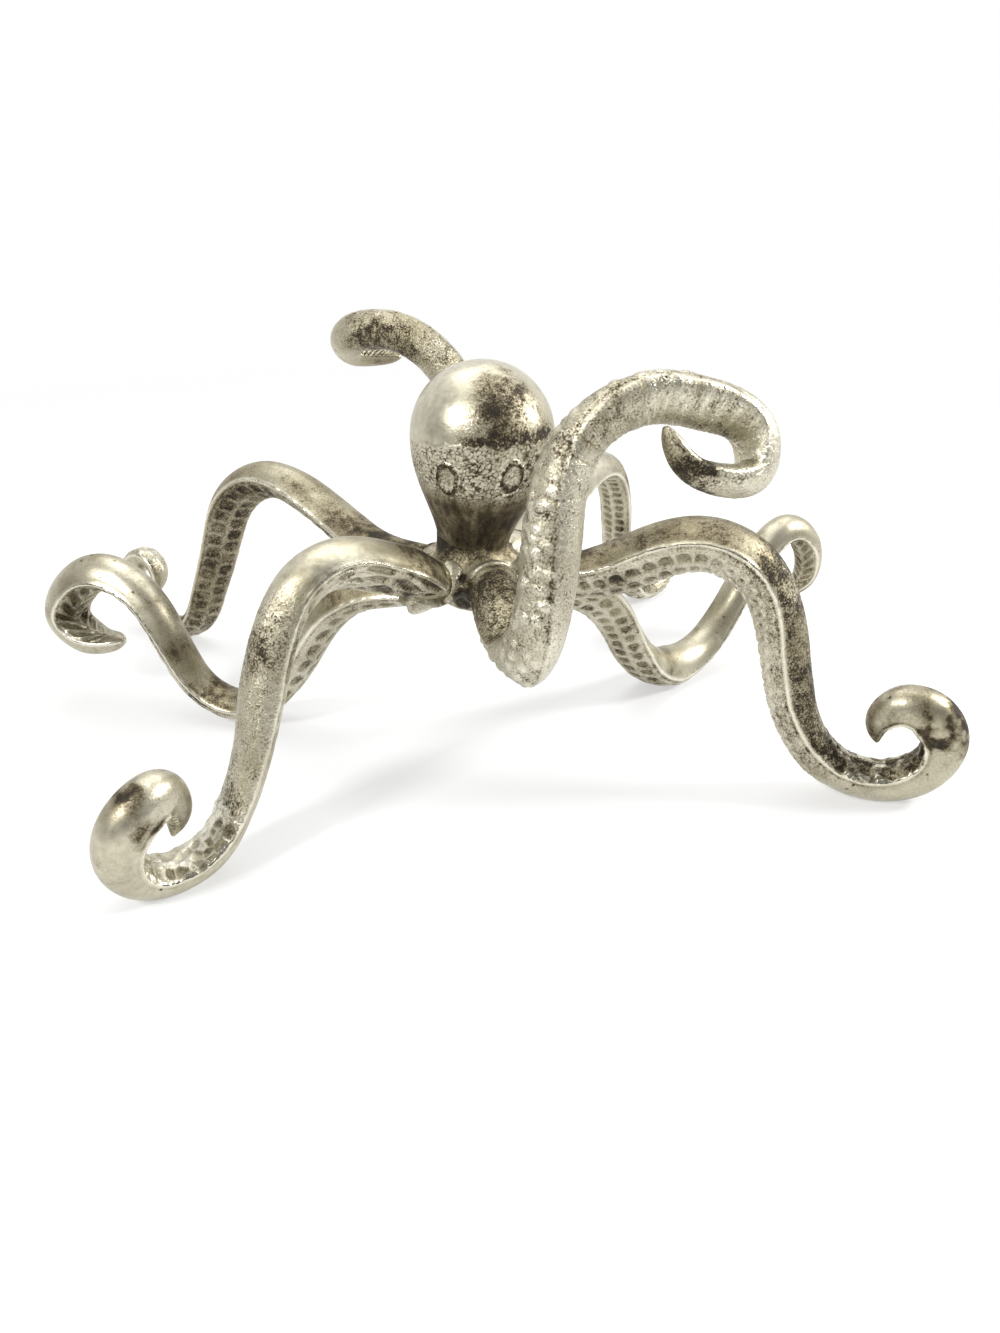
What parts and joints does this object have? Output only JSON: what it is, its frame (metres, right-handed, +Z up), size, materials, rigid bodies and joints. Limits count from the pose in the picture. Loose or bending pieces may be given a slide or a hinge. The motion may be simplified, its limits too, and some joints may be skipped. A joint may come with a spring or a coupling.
{
  "type": "octopus sculpture",
  "caption": "Cast metal octopus table sculpture: a domed head on a hub, with curled, two-faced arms welded round it, some raised and some standing on their bends.",
  "frame": {"origin": "middle of the footprint's bounding box, on the surface that the sculpture stands on", "axes": "+Z up, +X to the right seen from the front, -Y towards the front, where the eyes look"},
  "size_m": [0.4353, 0.343, 0.1895],
  "materials": {
    "cast_metal": "aged casting, polished on its high points, brown patina in its pits",
    "weld_metal": "rough dark weld bead"
  },
  "bodies": {
    "root": {"head": "cast_metal", "hub": "cast_metal", "front_arm": "cast_metal", "front_left_arm": "cast_metal", "left_arm": "cast_metal", "back_left_arm": "cast_metal", "back_arm": "cast_metal", "back_right_arm": "cast_metal", "right_arm": "cast_metal", "front_right_arm": "cast_metal", "front_weld": "weld_metal", "front_left_weld": "weld_metal", "left_weld": "weld_metal", "back_left_weld": "weld_metal", "back_weld": "weld_metal", "back_right_weld": "weld_metal", "right_weld": "weld_metal", "front_right_weld": "weld_metal", "neck_weld": "weld_metal"}
  },
  "joints": []
}
